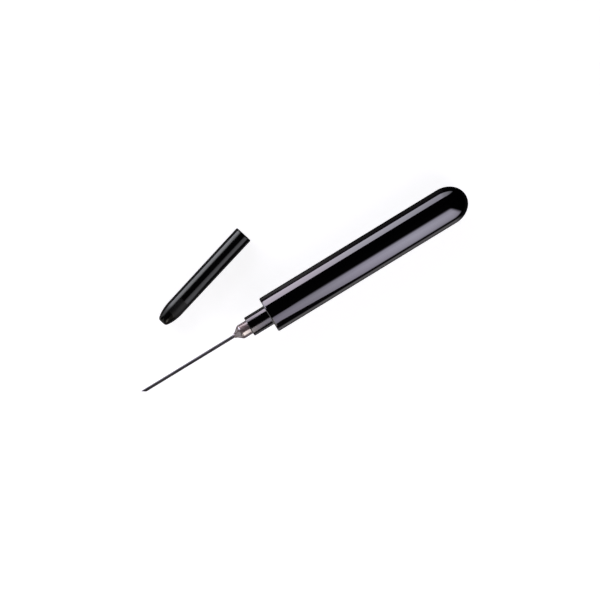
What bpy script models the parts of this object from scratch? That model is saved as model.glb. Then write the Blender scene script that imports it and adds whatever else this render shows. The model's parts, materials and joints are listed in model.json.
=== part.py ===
"""Air pump wine opener lying on its side, with its needle cap taken off and laid next to it.

Metres, +Z up. The pump's axis runs along X, the needle towards -X and the domed handle towards +X.
A height along the pump is measured from the front face of the cylinder's neck, positive towards the dome.
The origin is the middle of the footprint, on the surface that the pump and the cap lie on.
"""

import math
from typing import NamedTuple

import bmesh
import bpy
from mathutils import Matrix, Vector


class Finish(NamedTuple):
    """Colour, metallic share and roughness of a surface."""

    colour: tuple
    metallic: float
    roughness: float


GLOSS_BLACK = Finish((0.010, 0.009, 0.012, 1), 0.0, 0.12)
SATIN_BLACK = Finish((0.016, 0.015, 0.017, 1), 0.0, 0.34)
CHROME = Finish((0.80, 0.76, 0.75, 1), 1.0, 0.10)
DARK_STEEL = Finish((0.34, 0.33, 0.35, 1), 1.0, 0.22)
BRIGHT_STEEL = Finish((0.62, 0.62, 0.63, 1), 1.0, 0.18)
BRASS = Finish((0.78, 0.57, 0.27, 1), 1.0, 0.28)
BLACK_NYLON = Finish((0.030, 0.030, 0.032, 1), 0.0, 0.48)
WHITE_ACETAL = Finish((0.80, 0.79, 0.76, 1), 0.0, 0.40)
BLACK_RUBBER = Finish((0.022, 0.022, 0.022, 1), 0.0, 0.72)
RED_RUBBER = Finish((0.36, 0.07, 0.05, 1), 0.0, 0.62)

# Clearances that all pieces share
SEAT_GAP = 0.0003  # between pieces that seat on each other
FIT_GAP = 0.0001  # round a piece that runs in a bore or is held in one
OVERRUN = 0.001  # how far a cutter runs past what it cuts
WELD = 1e-8  # points nearer than this are one point
EDGE_BREAK = 0.0003  # chamfer of the moulded and turned edges

# Handle barrel, whose bore takes the bush
BARREL_WALL = 0.0018
BARREL_LENGTH = 0.1140  # straight part, from the mouth to the dome
DOME_LENGTH = 0.01245
DOME_WALL = 0.0024
MOUTH_FILLET = 0.0008

# Bush in the barrel's mouth, which runs on the cylinder
BUSH_WALL = 0.0025
BUSH_LENGTH = 0.010
BUSH_INSET = 0.001

# Pump cylinder
CYLINDER_RADIUS = 0.0058
CYLINDER_WALL = 0.0012
NECK_LENGTH = 0.0125  # stands out of the closed handle
NECK_FILLET = 0.0004
NOSE_LENGTH = 0.009  # thick front end that takes the hub
HUB_RECESS = 0.0004  # depth of the ring in the neck's face that the hub's shoulder sits in

# Needle hub
HUB_RADIUS = 0.0041
HUB_LENGTH = 0.00485
CONE_LENGTH = 0.0049
CONE_TIP_WALL = 0.0003
HUB_SHOULDER = 0.0009  # step from the hub down to its seat in the neck
CHAMBER_AHEAD = 0.0046  # of the neck's face, to the front of the hub's chamber
STEM_ROOM = 0.0002
O_RING_GROOVE_SHARE = 0.46  # of the stem's wall left under the groove
O_RING_BACK = 0.0026  # from the neck's face to the middle of the ring

# Needle and its collar
NEEDLE_RADIUS = 0.0009
NEEDLE_WALL = 0.0004
NEEDLE_LENGTH = 0.05945  # from the tip to the hub's cone
POINT_LENGTH = 0.0026  # of the slanted face
POINT_SOLID = 0.0050  # from the tip to the end of the air way
PORT_BACK = 0.0066  # from the tip to the middle of the side port
PORT_RADIUS = 0.0003
FERRULE_LENGTH = 0.003

# Check valve
BALL_RADIUS = 0.00125
BALL_ROOM = 0.00045
BALL_LIFT = 0.0008
VALVE_FLANGE = 0.0008
VALVE_PLUG_LENGTH = 0.0018
VALVE_RIM = 0.00045
VALVE_HOLE_SHARE = 0.56  # of the ball's radius
WIRE_RADIUS = 0.00015
SPRING_RADIUS_SHARE = 0.76  # of the ball's radius
SPRING_TURNS = 6

# Piston rod
ROD_RADIUS = 0.0015
ROD_BORE_WALL = 0.0005
COLLAR_STEP = 0.001
COLLAR_LENGTH = 0.0018
ROD_END_SHOWS = 0.0008  # past the nut

# Piston, its seal and its screw
PISTON_LENGTH = 0.010
PISTON_ROOM = 0.0003
PISTON_FRONT_WALL = 0.003
PISTON_LAND = 0.0015  # ahead of the seal's groove
GROOVE_SHARE = 0.46  # of the piston's wall left under the groove
SEAL_LENGTH = 0.0038
SEAL_CUP_DEPTH = 0.0022
SEAL_LIP_SHARE = 0.30  # of the seal's section
SEAL_ROOT_SHARE = 0.40
SEAL_HEEL_RELIEF = 0.00012
SCREW_HEAD_RADIUS = 0.0026
SCREW_HEAD_LENGTH = 0.0016
SCREW_REACH = 0.0045  # into the rod
SCREW_SPARE = 0.001  # tapped hole past the screw's end
SOCKET_RADIUS = 0.0011
SOCKET_DEPTH = 0.0008
HEAD_ROOM = 0.0015  # between the screw and the nose when the handle is home

# Rod guide in the cylinder's open end
GUIDE_PLUG_LENGTH = 0.007
GUIDE_FLANGE_LENGTH = 0.0046
GUIDE_FLANGE_ROOM = 0.0005
STOP_GAP = 0.0004  # left between piston and guide at full stroke
VENT_RADIUS = 0.0006
VENT_COUNT = 3
RING_WIDTH = 0.002
RING_SEAT_DEPTH = 0.001
RING_SLIT = 0.0008

# Anchor, cushion, washer and nut at the rod's back end
ANCHOR_LENGTH = 0.0085
ANCHOR_INSET = 0.0005  # from the dome's start
COUNTERBORE_DEPTH = 0.005
COUNTERBORE_ROOM = 0.0006
BARB_HEIGHT = 0.0002
BARB_LENGTH = 0.0012
BARB_COUNT = 3
CUSHION_LENGTH = 0.0025
CUSHION_RADIUS = 0.0065
WASHER_RADIUS = 0.003
WASHER_THICKNESS = 0.0005
NUT_HALF_FLATS = 0.00275
NUT_LENGTH = 0.0024

# Needle cap, and where it lies
CAP_WALL = 0.0008
CAP_FLARE = 0.000175  # growth of the radius from the taper to the mouth
CAP_END_WALL = 0.0008
CAP_TIP_ROOM = 0.0003
CAP_GRIP = 0.0007  # length of hub inside the cap when it is on
CAP_TAPER = 0.0112
CAP_TIP_RADIUS = 0.0024  # where the taper would meet the tip's plane
CAP_TIP_FLAT = 0.0013
CAP_TIP_ROUND = 0.0009  # length of the rounding between the flat and the taper
CAP_TIP_SLANT = 30  # degrees from the axis at which the rounding meets the taper
CAP_MOUTH_ROUND = 0.0009  # along the cap
CAP_MOUTH_STEP = 0.00055  # across it
CAP_MIDDLE_AHEAD = 0.0079  # of the neck's front face
CAP_MIDDLE_ASIDE = 0.0361
CAP_TURN = math.radians(15.7)

# Facets
BARREL_SIDES = 48
TUBE_SIDES = 36
INNER_SIDES = 28
SMALL_SIDES = 24
NEEDLE_SIDES = 16
WIRE_POINTS = 10  # to each turn
DOME_STEPS = 10
TAPER_STEPS = 8
FLARE_STEPS = 9
ROUND_STEPS = 3
HEX_SIDES = 6
SHARP_ANGLE = math.radians(32)

# Radii that follow from the sizes above
BUSH_BORE = CYLINDER_RADIUS + FIT_GAP
BUSH_RADIUS = BUSH_BORE + BUSH_WALL
BARREL_BORE = BUSH_RADIUS + SEAT_GAP
BARREL_RADIUS = BARREL_BORE + BARREL_WALL
CYLINDER_BORE = CYLINDER_RADIUS - CYLINDER_WALL
HUB_SEAT = HUB_RADIUS - HUB_SHOULDER
HUB_RECESS_RADIUS = HUB_RADIUS + FIT_GAP
STEM_RADIUS = HUB_SEAT - STEM_ROOM
NEEDLE_HOLE = NEEDLE_RADIUS + FIT_GAP
CHAMBER_RADIUS = BALL_RADIUS + BALL_ROOM
VALVE_PLUG_RADIUS = CHAMBER_RADIUS - FIT_GAP
VALVE_MOUTH = VALVE_PLUG_RADIUS - VALVE_RIM
VALVE_HOLE = BALL_RADIUS * VALVE_HOLE_SHARE
O_RING_FLOOR = CHAMBER_RADIUS + (STEM_RADIUS - CHAMBER_RADIUS) * O_RING_GROOVE_SHARE
O_RING_SECTION = (HUB_SEAT - O_RING_FLOOR) / 2 - FIT_GAP
SPRING_RADIUS = BALL_RADIUS * SPRING_RADIUS_SHARE
ROD_HOLE = ROD_RADIUS + FIT_GAP
ROD_TAPPED = ROD_RADIUS - ROD_BORE_WALL
SCREW_RADIUS = ROD_TAPPED - FIT_GAP
COLLAR_RADIUS = ROD_RADIUS + COLLAR_STEP
PISTON_RADIUS = CYLINDER_BORE - PISTON_ROOM
PISTON_GROOVE = ROD_HOLE + (PISTON_RADIUS - ROD_HOLE) * GROOVE_SHARE
GUIDE_PLUG_RADIUS = CYLINDER_BORE - FIT_GAP
GUIDE_FLANGE_RADIUS = BARREL_BORE - GUIDE_FLANGE_ROOM
RING_SEAT = GUIDE_FLANGE_RADIUS - RING_SEAT_DEPTH
ANCHOR_RADIUS = BARREL_BORE - SEAT_GAP
NUT_CORNER = NUT_HALF_FLATS / math.cos(math.pi / HEX_SIDES)
COUNTERBORE = NUT_CORNER + COUNTERBORE_ROOM
CAP_BORE = HUB_RADIUS + FIT_GAP
CAP_RADIUS = CAP_BORE + CAP_WALL
CAP_MOUTH = CAP_RADIUS + CAP_FLARE

# Heights along the pump that follow, from the needle to the dome
HUB_BACK = HUB_RECESS - SEAT_GAP
CONE_BACK = -HUB_LENGTH
CONE_FRONT = CONE_BACK - CONE_LENGTH
NEEDLE_TIP = CONE_FRONT - NEEDLE_LENGTH
CHAMBER_FRONT = -CHAMBER_AHEAD
FERRULE_FRONT = CHAMBER_FRONT + SEAT_GAP
FERRULE_BACK = FERRULE_FRONT + FERRULE_LENGTH
VALVE_BACK = NOSE_LENGTH - SEAT_GAP
VALVE_FLANGE_FRONT = VALVE_BACK - VALVE_FLANGE
STEM_BACK = VALVE_FLANGE_FRONT - SEAT_GAP
VALVE_FRONT = VALVE_FLANGE_FRONT - VALVE_PLUG_LENGTH
BALL_HEIGHT = VALVE_FRONT + VALVE_MOUTH - (BALL_RADIUS + FIT_GAP) * math.sqrt(2)
WIRE_REACH = BALL_RADIUS + FIT_GAP + WIRE_RADIUS
SPRING_FRONT = FERRULE_BACK + FIT_GAP + WIRE_RADIUS
SPRING_BACK = BALL_HEIGHT - math.sqrt(WIRE_REACH**2 - SPRING_RADIUS**2)
SCREW_FRONT = NOSE_LENGTH + HEAD_ROOM
PISTON_FRONT = SCREW_FRONT + SCREW_HEAD_LENGTH + SEAT_GAP
PISTON_BACK = PISTON_FRONT + PISTON_LENGTH
ROD_FRONT = PISTON_FRONT + PISTON_FRONT_WALL + SEAT_GAP
MOUTH = NECK_LENGTH
DOME_START = MOUTH + BARREL_LENGTH
DOME_TIP = DOME_START + DOME_LENGTH
ANCHOR_BACK = DOME_START - ANCHOR_INSET
ANCHOR_FRONT = ANCHOR_BACK - ANCHOR_LENGTH
CUSHION_BACK = ANCHOR_FRONT - SEAT_GAP
CUSHION_FRONT = CUSHION_BACK - CUSHION_LENGTH
COLLAR_BACK = ANCHOR_FRONT - SEAT_GAP
GUIDE_BACK = CUSHION_FRONT - SEAT_GAP
GUIDE_FLANGE_FRONT = GUIDE_BACK - GUIDE_FLANGE_LENGTH
CYLINDER_BACK = GUIDE_FLANGE_FRONT - SEAT_GAP
GUIDE_FRONT = GUIDE_FLANGE_FRONT - GUIDE_PLUG_LENGTH
WASHER_FRONT = ANCHOR_BACK - COUNTERBORE_DEPTH + SEAT_GAP
NUT_FRONT = WASHER_FRONT + WASHER_THICKNESS + SEAT_GAP
ROD_BACK = NUT_FRONT + NUT_LENGTH + ROD_END_SHOWS
STROKE = GUIDE_FRONT - PISTON_BACK - STOP_GAP

# The cap's length covers the needle and cone and takes in the hub's front
CAP_LENGTH = CAP_END_WALL + CAP_TIP_ROOM + NEEDLE_LENGTH + CONE_LENGTH + CAP_GRIP
CAP_AXIS_Y = CAP_MIDDLE_ASIDE
CAP_FAR_Y = CAP_AXIS_Y + CAP_LENGTH / 2 * math.sin(CAP_TURN) + CAP_MOUTH * math.cos(CAP_TURN)

# Places in the object's own frame
DATUM_X = -(NEEDLE_TIP + DOME_TIP) / 2
PUMP_Y = -(CAP_FAR_Y - BARREL_RADIUS) / 2
PUMP_Z = BARREL_RADIUS * math.cos(math.pi / BARREL_SIDES)
CAP_Z = CAP_MOUTH * math.cos(math.pi / TUBE_SIDES)


def clear_scene():
    """Removes the objects that the scene opened with."""
    for leftover in list(bpy.data.objects):
        bpy.data.objects.remove(leftover)


def arc(centre, reach, start, end, steps):
    """Points (radius, height) of an elliptical arc between two angles in degrees, counted from outwards."""
    turn = (end - start) / steps
    angles = [math.radians(start + turn * step) for step in range(steps + 1)]
    return [(centre[0] + reach[0] * math.cos(a), centre[1] + reach[1] * math.sin(a)) for a in angles]


def ring_outline(inner, outer, length, chamfer):
    """Outline of a plain ring with its four edges broken."""
    return [
        (inner + chamfer, 0),
        (outer - chamfer, 0),
        (outer, chamfer),
        (outer, length - chamfer),
        (outer - chamfer, length),
        (inner + chamfer, length),
        (inner, length - chamfer),
        (inner, chamfer),
    ]


def turned(outline, sides):
    """Spins a closed outline of (radius, height) points round Z, with flats and not corners on the axes."""
    shape = bmesh.new()
    points = [shape.verts.new((max(radius, 0), 0, height)) for radius, height in outline]
    for here, there in zip(points, points[1:] + points[:1]):
        if here.co.x > WELD or there.co.x > WELD:
            shape.edges.new((here, there))
    half_step = Matrix.Rotation(math.pi / sides, 3, "Z")
    bmesh.ops.rotate(shape, cent=(0, 0, 0), matrix=half_step, verts=shape.verts)
    bmesh.ops.spin(
        shape,
        geom=shape.verts[:] + shape.edges[:],
        cent=(0, 0, 0),
        axis=(0, 0, 1),
        angle=2 * math.pi,
        steps=sides,
        use_merge=True,
    )
    bmesh.ops.remove_doubles(shape, verts=shape.verts, dist=WELD)
    bmesh.ops.recalc_face_normals(shape, faces=shape.faces)
    return shape


def material(name, finish):
    """A Principled material of this piece's own."""
    made = bpy.data.materials.new(name)
    made.use_nodes = True
    made.diffuse_color = finish.colour
    shader = made.node_tree.nodes["Principled BSDF"]
    shader.inputs["Base Color"].default_value = finish.colour
    shader.inputs["Metallic"].default_value = finish.metallic
    shader.inputs["Roughness"].default_value = finish.roughness
    return made


def put(name, data, parent, height):
    """Links an object for this data and stands it at a height on its parent's axis."""
    placed = bpy.data.objects.new(name, data)
    bpy.context.scene.collection.objects.link(placed)
    placed.parent = parent
    placed.location = (0, 0, height)
    return placed


def mesh_from(name, shape):
    """Turns the bmesh into a mesh, smooth on its round stretches and sharp at its edges."""
    mesh = bpy.data.meshes.new(name)
    shape.to_mesh(mesh)
    shape.free()
    mesh.shade_smooth()
    mesh.set_sharp_from_angle(angle=SHARP_ANGLE)
    return mesh


def piece(name, shape, finish, parent, height):
    """Makes a named piece from a bmesh and gives it its finish."""
    made = put(name, mesh_from(name, shape), parent, height)
    made.data.materials.append(material(name, finish))
    return made


def cut(target, name, shape):
    """Cuts a closed shape, given in the target's own coordinates, out of the target."""
    cutter = put(name, mesh_from(name, shape), target.parent, target.location.z)
    cutter.hide_render = True
    cutter.display_type = "WIRE"
    modifier = target.modifiers.new(name, "BOOLEAN")
    modifier.operation = "DIFFERENCE"
    modifier.solver = "EXACT"
    modifier.object = cutter


def prism(shape, radius, length, sides, matrix):
    """Adds a closed prism about its own Z, its middle placed by the matrix."""
    bmesh.ops.create_cone(
        shape,
        cap_ends=True,
        segments=sides,
        radius1=radius,
        radius2=radius,
        depth=length,
        matrix=matrix,
    )


def axis_empty(name, parent):
    """An empty on its parent's axis, which carries what moves together."""
    return put(name, None, parent, 0)


def handle_shell(parent):
    """The barrel: a straight tube with a rounded mouth and an ellipsoid dome, hollow right into the dome."""
    outline = [(BARREL_BORE + EDGE_BREAK, 0)]
    fillet_centre = (BARREL_RADIUS - MOUTH_FILLET, MOUTH_FILLET)
    outline += arc(fillet_centre, (MOUTH_FILLET, MOUTH_FILLET), -90, 0, ROUND_STEPS)
    outline += arc((0, BARREL_LENGTH), (BARREL_RADIUS, DOME_LENGTH), 0, 90, DOME_STEPS)
    inner_dome = DOME_LENGTH - DOME_WALL
    outline += arc((0, BARREL_LENGTH), (BARREL_BORE, inner_dome), 90, 0, DOME_STEPS // 2)
    outline.append((BARREL_BORE, EDGE_BREAK))
    piece("handle_shell", turned(outline, BARREL_SIDES), GLOSS_BLACK, parent, MOUTH)


def mouth_bush(parent):
    """Plain bearing in the barrel's mouth that runs on the cylinder."""
    outline = ring_outline(BUSH_BORE, BUSH_RADIUS, BUSH_LENGTH, EDGE_BREAK)
    piece("mouth_bush", turned(outline, INNER_SIDES), BLACK_NYLON, parent, MOUTH + BUSH_INSET)


def rod_anchor(parent):
    """Barbed plug in the barrel, with the rod's hole and a counterbore for the washer and nut."""
    land = ANCHOR_LENGTH / (BARB_COUNT + 1)
    outline = [(ROD_HOLE, 0), (ANCHOR_RADIUS - EDGE_BREAK, 0), (ANCHOR_RADIUS, EDGE_BREAK)]
    for barb in range(BARB_COUNT):
        foot = land * (barb + 1)
        outline += [(ANCHOR_RADIUS, foot - BARB_LENGTH / 2), (ANCHOR_RADIUS + BARB_HEIGHT, foot)]
        outline.append((ANCHOR_RADIUS, foot + BARB_LENGTH / 2))
    outline += [(ANCHOR_RADIUS, ANCHOR_LENGTH), (COUNTERBORE, ANCHOR_LENGTH)]
    floor = ANCHOR_LENGTH - COUNTERBORE_DEPTH
    outline += [(COUNTERBORE, floor), (ROD_HOLE, floor)]
    piece("rod_anchor", turned(outline, INNER_SIDES), BLACK_NYLON, parent, ANCHOR_FRONT)


def stop_cushion(parent):
    """Rubber ring on the anchor's front that meets the rod guide when the handle is pushed home."""
    section = ring_outline(COLLAR_RADIUS + SEAT_GAP, CUSHION_RADIUS, CUSHION_LENGTH, EDGE_BREAK)
    piece("stop_cushion", turned(section, SMALL_SIDES), BLACK_RUBBER, parent, CUSHION_FRONT)


def pump_cylinder(parent):
    """The tube that the piston runs in, with a thick nose bored for the hub's stem and recessed for the hub."""
    fillet_centre = (CYLINDER_RADIUS - NECK_FILLET, NECK_FILLET)
    outline = [(HUB_SEAT, HUB_RECESS), (HUB_RECESS_RADIUS, HUB_RECESS), (HUB_RECESS_RADIUS, 0)]
    outline += arc(fillet_centre, (NECK_FILLET, NECK_FILLET), -90, 0, ROUND_STEPS)
    outline += [(CYLINDER_RADIUS, CYLINDER_BACK - EDGE_BREAK), (CYLINDER_RADIUS - EDGE_BREAK, CYLINDER_BACK)]
    outline += [(CYLINDER_BORE, CYLINDER_BACK), (CYLINDER_BORE, NOSE_LENGTH), (HUB_SEAT, NOSE_LENGTH)]
    piece("pump_cylinder", turned(outline, TUBE_SIDES), GLOSS_BLACK, parent, 0)


def rod_guide(parent):
    """Plug in the cylinder's end with the rod's hole, a flange that carries the wear ring, and air vents."""
    flange = GUIDE_PLUG_LENGTH
    end = flange + GUIDE_FLANGE_LENGTH
    seat_width = RING_WIDTH + SEAT_GAP + SEAT_GAP
    seat_front = flange + (GUIDE_FLANGE_LENGTH - seat_width) / 2
    seat_back = seat_front + seat_width
    outline = [
        (ROD_HOLE, 0),
        (GUIDE_PLUG_RADIUS - EDGE_BREAK, 0),
        (GUIDE_PLUG_RADIUS, EDGE_BREAK),
        (GUIDE_PLUG_RADIUS, flange),
        (GUIDE_FLANGE_RADIUS, flange),
        (GUIDE_FLANGE_RADIUS, seat_front),
        (RING_SEAT, seat_front),
        (RING_SEAT, seat_back),
        (GUIDE_FLANGE_RADIUS, seat_back),
        (GUIDE_FLANGE_RADIUS, end),
        (ROD_HOLE, end),
    ]
    guide = piece("rod_guide", turned(outline, INNER_SIDES), WHITE_ACETAL, parent, GUIDE_FRONT)
    vents = bmesh.new()
    vent_circle = (ROD_HOLE + GUIDE_PLUG_RADIUS) / 2
    for vent in range(VENT_COUNT):
        turn = Matrix.Rotation(2 * math.pi * vent / VENT_COUNT, 4, "Z")
        middle = turn @ Matrix.Translation((vent_circle, 0, end / 2))
        prism(vents, VENT_RADIUS, end + 2 * OVERRUN, SMALL_SIDES // 2, middle)
    cut(guide, "guide_vents", vents)


def head_guide_ring(parent):
    """Split wear ring in the guide's flange that runs in the barrel."""
    section = ring_outline(RING_SEAT + FIT_GAP, BARREL_BORE - FIT_GAP, RING_WIDTH, FIT_GAP)
    front = GUIDE_FLANGE_FRONT + (GUIDE_FLANGE_LENGTH - RING_WIDTH) / 2
    ring = piece("head_guide_ring", turned(section, INNER_SIDES), BLACK_NYLON, parent, front)
    slit = bmesh.new()
    size = Matrix.Diagonal((BARREL_BORE, RING_SLIT, RING_WIDTH + 2 * OVERRUN, 1))
    bmesh.ops.create_cube(slit, size=1, matrix=Matrix.Translation((BARREL_BORE, 0, RING_WIDTH / 2)) @ size)
    cut(ring, "guide_ring_slit", slit)


def needle_hub(parent):
    """Nose piece: a short cylinder with a flared cone in front and a stem with the valve's chamber behind."""
    cone_tip = NEEDLE_HOLE + CONE_TIP_WALL
    outline = []
    for step in range(FLARE_STEPS + 1):
        share = step / FLARE_STEPS
        rise = (HUB_RADIUS - cone_tip) * (1 - math.cos(math.pi * share)) / 2
        outline.append((cone_tip + rise, CONE_FRONT + CONE_LENGTH * share))
    groove_front = O_RING_BACK - O_RING_SECTION - FIT_GAP
    groove_back = O_RING_BACK + O_RING_SECTION + FIT_GAP
    outline += [
        (HUB_RADIUS, HUB_BACK),
        (STEM_RADIUS, HUB_BACK),
        (STEM_RADIUS, groove_front),
        (O_RING_FLOOR, groove_front),
        (O_RING_FLOOR, groove_back),
        (STEM_RADIUS, groove_back),
        (STEM_RADIUS, STEM_BACK - EDGE_BREAK),
        (STEM_RADIUS - EDGE_BREAK, STEM_BACK),
        (CHAMBER_RADIUS, STEM_BACK),
        (CHAMBER_RADIUS, CHAMBER_FRONT),
        (NEEDLE_HOLE, CHAMBER_FRONT),
        (NEEDLE_HOLE, CONE_FRONT),
    ]
    piece("needle_hub", turned(outline, TUBE_SIDES), CHROME, parent, 0)


def hub_o_ring(parent):
    """Rubber ring in the stem's groove that seals it in the nose."""
    middle = (O_RING_FLOOR + FIT_GAP + O_RING_SECTION, 0)
    section = arc(middle, (O_RING_SECTION, O_RING_SECTION), 0, 360, NEEDLE_SIDES // 2)[:-1]
    piece("hub_o_ring", turned(section, SMALL_SIDES), RED_RUBBER, parent, O_RING_BACK)


def needle(parent):
    """Steel tube closed at a slanted point, with a side port just behind it."""
    back = FERRULE_BACK - NEEDLE_TIP
    air_way = NEEDLE_RADIUS - NEEDLE_WALL
    outline = [(0, 0), (NEEDLE_RADIUS, 0), (NEEDLE_RADIUS, back)]
    outline += [(air_way, back), (air_way, POINT_SOLID), (0, POINT_SOLID)]
    shape = turned(outline, NEEDLE_SIDES)
    bmesh.ops.bisect_plane(
        shape,
        geom=shape.verts[:] + shape.edges[:] + shape.faces[:],
        plane_co=(0, NEEDLE_RADIUS, 0),
        plane_no=Vector((0, -POINT_LENGTH, -2 * NEEDLE_RADIUS)),
        clear_outer=True,
    )
    rim = [edge for edge in shape.edges if edge.is_boundary]
    bmesh.ops.holes_fill(shape, edges=rim, sides=0)
    tube = piece("needle", shape, DARK_STEEL, parent, NEEDLE_TIP)
    port = bmesh.new()
    outwards = Matrix.Rotation(math.pi / 2, 4, "Y")
    middle = Matrix.Translation((NEEDLE_RADIUS, 0, PORT_BACK))
    prism(port, PORT_RADIUS, 2 * NEEDLE_RADIUS, NEEDLE_SIDES // 2, middle @ outwards)
    cut(tube, "needle_port", port)


def needle_ferrule(parent):
    """Brass collar that holds the needle in the hub and seats the spring."""
    section = ring_outline(NEEDLE_HOLE, VALVE_PLUG_RADIUS, FERRULE_LENGTH, FIT_GAP)
    piece("needle_ferrule", turned(section, SMALL_SIDES), BRASS, parent, FERRULE_FRONT)


def valve_seat(parent):
    """Plug in the hub's back end, with the conical seat that the ball closes."""
    plug = VALVE_PLUG_LENGTH
    end = plug + VALVE_FLANGE
    outline = [
        (VALVE_MOUTH, 0),
        (VALVE_PLUG_RADIUS, 0),
        (VALVE_PLUG_RADIUS, plug),
        (STEM_RADIUS, plug),
        (STEM_RADIUS, end),
        (VALVE_HOLE, end),
        (VALVE_HOLE, VALVE_MOUTH - VALVE_HOLE),
    ]
    piece("valve_seat", turned(outline, SMALL_SIDES), WHITE_ACETAL, parent, VALVE_FRONT)


def check_ball(parent):
    """Steel ball just off its seat; it lifts towards the needle when air is pumped."""
    outline = arc((0, 0), (BALL_RADIUS, BALL_RADIUS), -90, 90, NEEDLE_SIDES // 2)
    piece("check_ball", turned(outline, NEEDLE_SIDES), BRIGHT_STEEL, parent, BALL_HEIGHT)


def valve_spring(parent):
    """Helix from the ferrule to the ball."""
    count = SPRING_TURNS * WIRE_POINTS + 1
    rise = (SPRING_BACK - SPRING_FRONT) / (count - 1)
    wire = bpy.data.curves.new("valve_spring", "CURVE")
    wire.dimensions = "3D"
    wire.bevel_depth = WIRE_RADIUS
    wire.bevel_resolution = 1
    wire.use_fill_caps = True
    spline = wire.splines.new("POLY")
    spline.points.add(count - 1)
    for step, point in enumerate(spline.points):
        angle = 2 * math.pi * step / WIRE_POINTS
        point.co = (SPRING_RADIUS * math.cos(angle), SPRING_RADIUS * math.sin(angle), rise * step, 1)
    wire.materials.append(material("valve_spring", BRIGHT_STEEL))
    put("valve_spring", wire, parent, SPRING_FRONT)


def piston_rod(parent):
    """Steel rod, tapped in front for the piston's screw, with a collar and a plain end for the nut."""
    collar_back = COLLAR_BACK - ROD_FRONT
    collar_front = collar_back - COLLAR_LENGTH
    end = ROD_BACK - ROD_FRONT
    hole = SCREW_REACH + SCREW_SPARE
    outline = [
        (0, hole),
        (ROD_TAPPED, hole),
        (ROD_TAPPED, 0),
        (ROD_RADIUS, 0),
        (ROD_RADIUS, collar_front),
        (COLLAR_RADIUS, collar_front),
        (COLLAR_RADIUS, collar_back),
        (ROD_RADIUS, collar_back),
        (ROD_RADIUS, end - EDGE_BREAK),
        (ROD_RADIUS - EDGE_BREAK, end),
        (0, end),
    ]
    piece("piston_rod", turned(outline, SMALL_SIDES), BRIGHT_STEEL, parent, ROD_FRONT)


def piston(parent):
    """Moulded body on the rod's front end, with the seal's groove round it."""
    groove_back = PISTON_LAND + SEAL_LENGTH + 2 * FIT_GAP
    outline = [
        (SCREW_RADIUS + FIT_GAP, 0),
        (PISTON_RADIUS - EDGE_BREAK, 0),
        (PISTON_RADIUS, EDGE_BREAK),
        (PISTON_RADIUS, PISTON_LAND),
        (PISTON_GROOVE, PISTON_LAND),
        (PISTON_GROOVE, groove_back),
        (PISTON_RADIUS, groove_back),
        (PISTON_RADIUS, PISTON_LENGTH - EDGE_BREAK),
        (PISTON_RADIUS - EDGE_BREAK, PISTON_LENGTH),
        (ROD_HOLE, PISTON_LENGTH),
        (ROD_HOLE, PISTON_FRONT_WALL),
        (SCREW_RADIUS + FIT_GAP, PISTON_FRONT_WALL),
    ]
    piece("piston", turned(outline, INNER_SIDES), WHITE_ACETAL, parent, PISTON_FRONT)


def piston_seal(parent):
    """U-cup: a ring with two lips that open towards the needle, pressed out by the pumped air."""
    inner = PISTON_GROOVE + FIT_GAP
    outer = CYLINDER_BORE - FIT_GAP
    section = outer - inner
    lip = section * SEAL_LIP_SHARE
    root = section * SEAL_ROOT_SHARE
    outline = [
        (inner, 0),
        (inner + lip, 0),
        (inner + root, SEAL_CUP_DEPTH),
        (outer - root, SEAL_CUP_DEPTH),
        (outer - lip, 0),
        (outer, 0),
        (outer, SEAL_LENGTH - SEAL_CUP_DEPTH),
        (outer - SEAL_HEEL_RELIEF, SEAL_LENGTH),
        (inner, SEAL_LENGTH),
    ]
    front = PISTON_FRONT + PISTON_LAND + FIT_GAP
    piece("piston_seal", turned(outline, INNER_SIDES), BLACK_RUBBER, parent, front)


def piston_screw(parent):
    """Socket screw through the piston into the rod."""
    end = SCREW_HEAD_LENGTH + SEAT_GAP + PISTON_FRONT_WALL + SEAT_GAP + SCREW_REACH
    outline = [
        (0, 0),
        (SCREW_HEAD_RADIUS - EDGE_BREAK, 0),
        (SCREW_HEAD_RADIUS, EDGE_BREAK),
        (SCREW_HEAD_RADIUS, SCREW_HEAD_LENGTH),
        (SCREW_RADIUS, SCREW_HEAD_LENGTH),
        (SCREW_RADIUS, end - EDGE_BREAK),
        (SCREW_RADIUS - EDGE_BREAK, end),
        (0, end),
    ]
    screw = piece("piston_screw", turned(outline, SMALL_SIDES), BRIGHT_STEEL, parent, SCREW_FRONT)
    socket = bmesh.new()
    prism(socket, SOCKET_RADIUS, 2 * SOCKET_DEPTH, HEX_SIDES, Matrix.Identity(4))
    cut(screw, "screw_socket", socket)


def rod_washer(parent):
    """Flat washer between the anchor and the nut."""
    section = ring_outline(ROD_HOLE, WASHER_RADIUS, WASHER_THICKNESS, FIT_GAP)
    piece("rod_washer", turned(section, SMALL_SIDES), BRIGHT_STEEL, parent, WASHER_FRONT)


def rod_nut(parent):
    """Hexagon nut on the rod's back end."""
    hexagon = bmesh.new()
    middle = Matrix.Translation((0, 0, NUT_LENGTH / 2))
    prism(hexagon, NUT_CORNER, NUT_LENGTH, HEX_SIDES, middle)
    nut = piece("rod_nut", hexagon, BRIGHT_STEEL, parent, NUT_FRONT)
    bore = bmesh.new()
    prism(bore, ROD_HOLE, NUT_LENGTH + 2 * OVERRUN, SMALL_SIDES, middle)
    cut(nut, "nut_bore", bore)


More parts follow.
